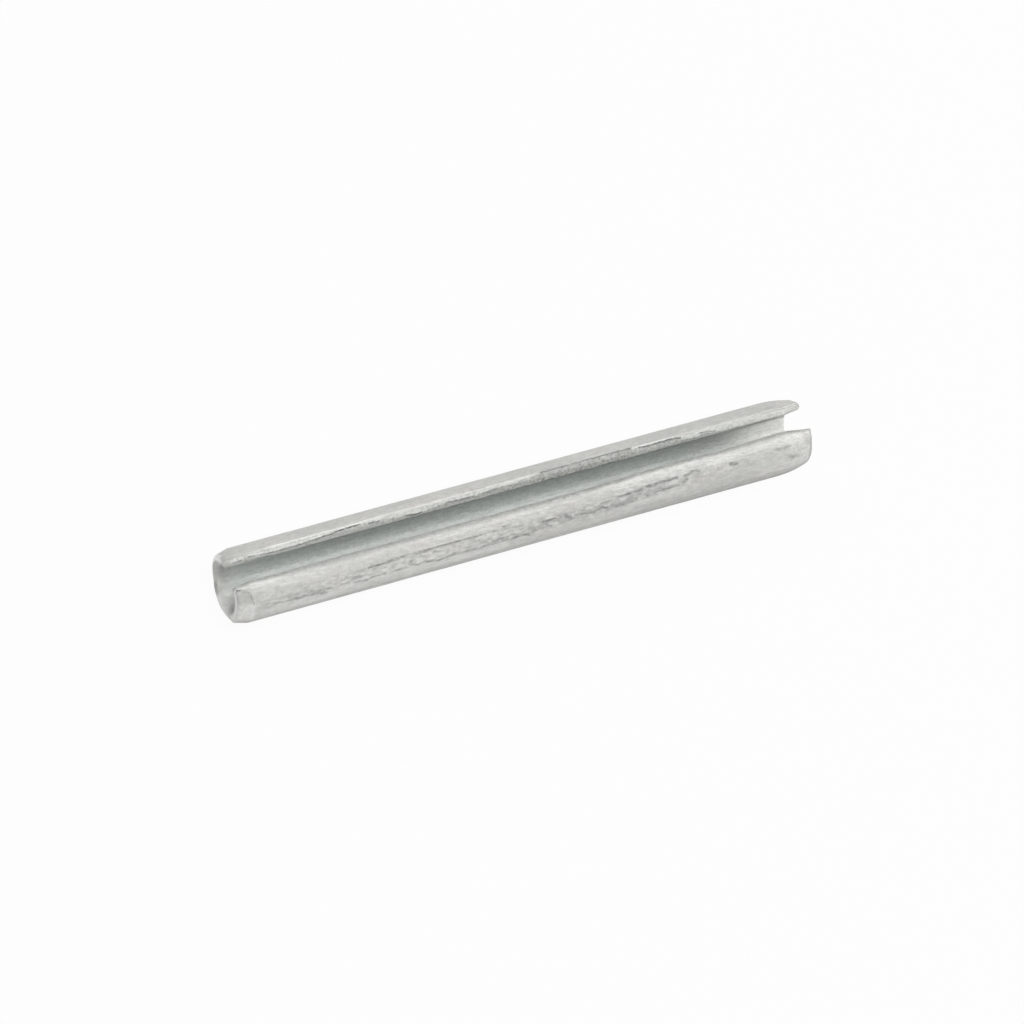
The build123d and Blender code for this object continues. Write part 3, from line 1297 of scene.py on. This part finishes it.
    def _slice(self, strip: bmesh.types.BMesh) -> None:
        """Gives the strip the faces that rolling and wear need.

        Args:
            strip: The plain strip.
        """
        self._cut(strip, 2, [self.wall * (share - 0.5) for share in self.layers])
        first = self.lip_outer_round[Side.NEAR] - self.half_width
        last = self.half_width - self.lip_outer_round[Side.FAR]
        step = (last - first) / self.strips_round
        self._cut(strip, 1, [first + step * index for index in range(1, self.strips_round)])
        long_edges = [edge for edge in strip.edges
                      if abs(edge.verts[0].co.x - edge.verts[1].co.x) > self.length / 2]
        bmesh.ops.subdivide_edges(strip, edges=long_edges, cuts=self.stations - 1,
                                  use_grid_fill=True)
        half = self.length / 2
        chamfer_places = [self.chamfered_end.length + ring for ring in self.chamfer_rings]
        self._cut(strip, 0, [ring - half for ring in (*self.end_rings, *chamfer_places)])
        self._cut(strip, 0, [half - ring for ring in (*self.end_rings, self.lead_end.length)])

    def _roll(self, strip: bmesh.types.BMesh) -> None:
        """Rolls the strip round the X axis, with its two ends and its lips in the shape that wear
        gave them.

        Args:
            strip: The sliced strip.
        """
        places = strip.verts.layers.float_vector.new("place")
        for vert in strip.verts:
            x, across, through = vert.co
            outside = through / self.wall + 0.5
            side = Side.FAR if across > 0 else Side.NEAR
            from_lip = self.half_width - abs(across)
            down_lip = (1.0 - outside) * self.wall * read_off(self.lip_bend, from_lip)
            girth = (across + self.half_width) * self.stretch + side.value * down_lip
            vert[places] = (x, girth, outside)

            end = self.chamfered_end if x < 0 else self.lead_end
            from_end = self.length / 2 - abs(x)
            turn = degrees(across / self.middle_radius)
            inner = self.bore_radius + end.mouth_gain(from_end, turn)
            outer = self.outer_radius - end.skin_loss(from_end, turn)
            radius = inner + (outer - inner) * outside
            inward = end.shortening(from_end, turn, from_lip)
            x += inward if x < 0 else -inward
            recess = read_off(self.lip_recess[side], x) * read_off(self.recess_share, from_lip)
            if side is Side.FAR:
                lean = self.far_lip_lean * read_off(self.lean_wall, outside)
                recess += lean * read_off(self.lean_share, from_lip)
            angle = (across - side.value * recess) / self.middle_radius
            if radius * cos(angle) > self.flat_level:
                radius = self.flat_level / cos(angle)
            vert.co = (x, radius * sin(angle), -radius * cos(angle))
        strip.normal_update()

    def _wear_down(self, strip: bmesh.types.BMesh) -> None:
        """Gives the skin its traces of wear and of painted light and shade, and its waviness, and
        scales it to metres.

        Args:
            strip: The rolled strip. No place of it goes under the flat along the belly.
        """
        places = strip.verts.layers.float_vector["place"]
        layers = {trace: strip.verts.layers.float.new(trace.value) for trace in Trace}
        normals = [vert.normal.copy() for vert in strip.verts]
        for vert, normal in zip(strip.verts, normals):
            spot = self._spot(*vert[places])
            wear_and_shading = self._traces_at(spot)
            for trace, layer in layers.items():
                vert[layer] = wear_and_shading[trace]
            lift = sum(wave.at(spot) for wave in self.waves)
            for trace, wave in self.relief.items():
                lift += wear_and_shading[trace] * wave.at(spot)
            lift -= self.scar_depth * wear_and_shading[Trace.SCAR]
            vert.co = (vert.co + normal * lift) * MM
            vert.co.z = max(vert.co.z, -self.flat_level * MM)

    def _spot(self, x: float, girth: float, outside: float) -> Spot:
        """Works out where a place of the rolled strip lies.

        Args:
            x: Millimetres along the pin from its middle.
            girth: Millimetres round the skin from the near lip.
            outside: The place in the wall, from 0 at the bore to 1 at the skin.

        Returns:
            The place.
        """
        lip_start = self.lip_outer_round[Side.FAR] * self.stretch
        to_far_lip = 2 * self.half_width * self.stretch - girth
        turn = degrees(girth / self.outer_radius - self.half_width / self.middle_radius)
        return Spot(x=x, girth=girth, outside=outside, turn=turn,
                    over_lip=max(lip_start - to_far_lip, 0.0),
                    from_cut=self.length / 2 + x, from_lead=self.length / 2 - x)

    def _traces_at(self, spot: Spot) -> dict[Trace, float]:
        """Its traces of wear and of painted light and shade at a place.

        Args:
            spot: The place of the pin.

        Returns:
            The largest share that any wear gives to each trace there.
        """
        wear_and_shading = {trace: 0.0 for trace in Trace}
        for wear in self.wear:
            for trace, share in wear.shares(spot).items():
                wear_and_shading[trace] = max(wear_and_shading[trace], share)
        return wear_and_shading


@dataclass(frozen=True)
class ViewCamera:
    """The camera, placed by how it sees the pin's middle.

    Attributes:
        sideways: How far it stands round towards -X, in degrees.
        slot_turn: How far it stands down from the slot towards the near side, in degrees.
        roll: How far the pin's axis is turned in the image, in degrees.
        distance: From the pin's middle, in metres.
        pixels_per_metre: The scale at that distance.
        pin_column: The image's column that the pin's middle is in.
        pin_row: The image's row that the pin's middle is in.
    """

    sideways: float = 21.5
    slot_turn: float = 25.4
    roll: float = 15.37
    distance: float = 0.616
    pixels_per_metre: float = 11643.0
    pin_column: float = 515.9
    pin_row: float = 509.05

    def build(self) -> None:
        """Makes the camera and looks through it."""
        beta, phi, roll = (radians(angle) for angle in (self.sideways, self.slot_turn, self.roll))
        towards = Vector((-sin(beta), -cos(beta) * sin(phi), cos(beta) * cos(phi)))
        along = (Vector((1, 0, 0)) - towards * towards.x).normalized()
        down = along.cross(towards)
        if down.z > 0:
            down = -down
        right = along * cos(roll) + down * sin(roll)
        down = down * cos(roll) - along * sin(roll)
        data = bpy.data.cameras.new("view_camera")
        data.sensor_width = SENSOR_WIDTH
        data.lens = self.pixels_per_metre * self.distance * SENSOR_WIDTH / IMAGE_WIDTH
        camera = bpy.data.objects.new("view_camera", data)
        half = IMAGE_WIDTH / 2
        aside = right * (self.pin_column - half) + down * (self.pin_row - half)
        place = towards * self.distance - aside / self.pixels_per_metre
        axes = Matrix((right, -down, towards)).transposed()
        camera.matrix_world = Matrix.Translation(place) @ axes.to_4x4()
        bpy.context.scene.collection.objects.link(camera)
        bpy.context.scene.camera = camera


@dataclass(frozen=True)
class Lamp:
    """A square soft light that faces the pin.

    Attributes:
        name: The lamp's name.
        place: Where it hangs, in metres.
        size: Its edge, in metres.
        power: In watts.
    """

    name: str
    place: Place
    size: float
    power: float

    def build(self) -> None:
        """Adds the lamp to the scene."""
        data = bpy.data.lights.new(self.name, "AREA")
        data.size = self.size
        data.energy = self.power
        lamp = bpy.data.objects.new(self.name, data)
        lamp.location = self.place
        lamp.rotation_euler = Vector(self.place).to_track_quat("Z", "Y").to_euler()
        bpy.context.scene.collection.objects.link(lamp)


@dataclass(frozen=True)
class Studio:
    """The pale floor and the soft light.

    Attributes:
        floor_level: The height of the floor, in metres.
        floor_size: Its edge, in metres.
        floor_colour: Its colour where it isn't seen by the camera.
        world_light: The strength of the surround.
        backdrop_share: How much of the seen floor is plain white, and not lit.
        lamps: The lamps.
    """

    floor_level: float
    floor_size: float = 3.0
    floor_colour: Colour = (0.6, 0.6, 0.6)
    world_light: float = 0.38
    backdrop_share: float = 0.95
    lamps: tuple[Lamp, ...] = (
        Lamp("key_light", (0.08, -0.28, 0.86), 0.46, 3.15),
        Lamp("back_light", (-0.10, 0.62, 0.58), 0.50, 1.55),
        Lamp("lead_light", (0.70, -0.12, 0.42), 0.40, 4.15),
        Lamp("cut_light", (-0.66, -0.30, 0.30), 0.40, 1.05),
    )

    def build(self) -> None:
        """Makes the floor, the world and the lamps."""
        self._floor()
        self._world()
        for lamp in self.lamps:
            lamp.build()

    def _seen(self, tree: bpy.types.NodeTree) -> bpy.types.NodeSocket:
        """Finds what the camera sees, directly or mirrored.

        Args:
            tree: The floor's nodes.

        Returns:
            A socket that is the backdrop share there, and 0 for all other light.
        """
        nodes = Nodes(tree)
        rays = tree.nodes.new("ShaderNodeLightPath").outputs
        seen = rays["Is Camera Ray"]
        for name in ("Is Glossy Ray", "Is Transmission Ray"):
            seen = nodes.combine("MAXIMUM", seen, rays[name])
        return nodes.combine("MULTIPLY", seen, self.backdrop_share)

    def _floor(self) -> None:
        """Makes a white floor that keeps the pin's shadow."""
        sheet = bmesh.new()
        bmesh.ops.create_grid(sheet, x_segments=2, y_segments=2, size=self.floor_size / 2)
        bmesh.ops.translate(sheet, vec=(0, 0, self.floor_level), verts=sheet.verts)
        mesh = bpy.data.meshes.new("studio_floor")
        sheet.to_mesh(mesh)
        sheet.free()
        material = bpy.data.materials.new("studio_floor")
        material.use_nodes = True
        tree = material.node_tree
        shader = tree.nodes["Principled BSDF"]
        shader.inputs["Base Color"].default_value = (*self.floor_colour, 1.0)
        shader.inputs["Roughness"].default_value = 1.0
        shader.inputs["Specular IOR Level"].default_value = 0.0
        white = tree.nodes.new("ShaderNodeEmission")
        mix = tree.nodes.new("ShaderNodeMixShader")
        tree.links.new(self._seen(tree), mix.inputs[0])
        tree.links.new(shader.outputs[0], mix.inputs[1])
        tree.links.new(white.outputs[0], mix.inputs[2])
        tree.links.new(mix.outputs[0], tree.nodes["Material Output"].inputs["Surface"])
        mesh.materials.append(material)
        floor = bpy.data.objects.new("studio_floor", mesh)
        bpy.context.scene.collection.objects.link(floor)

    def _world(self) -> None:
        """Makes an even pale surround."""
        world = bpy.data.worlds.new("studio")
        world.use_nodes = True
        background = world.node_tree.nodes["Background"]
        background.inputs["Color"].default_value = (1.0, 1.0, 1.0, 1.0)
        background.inputs["Strength"].default_value = self.world_light
        bpy.context.scene.world = world


def main() -> None:
    """Builds the pin, its surroundings and the camera."""
    logging.basicConfig(level=logging.INFO, format="%(name)s: %(message)s")
    scene = bpy.context.scene
    scene.view_settings.view_transform = "Standard"
    strip = RolledStrip()
    pin = strip.build()
    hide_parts("spring_pin")
    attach(pin, "root")
    log.info("pin: %d faces", len(pin.data.polygons))
    Studio(floor_level=CAD_BOX[0][2]).build()
    log.info("studio: floor and soft light")
    ViewCamera().build()
    log.info("camera placed")


if __name__ == "__main__":
    main()
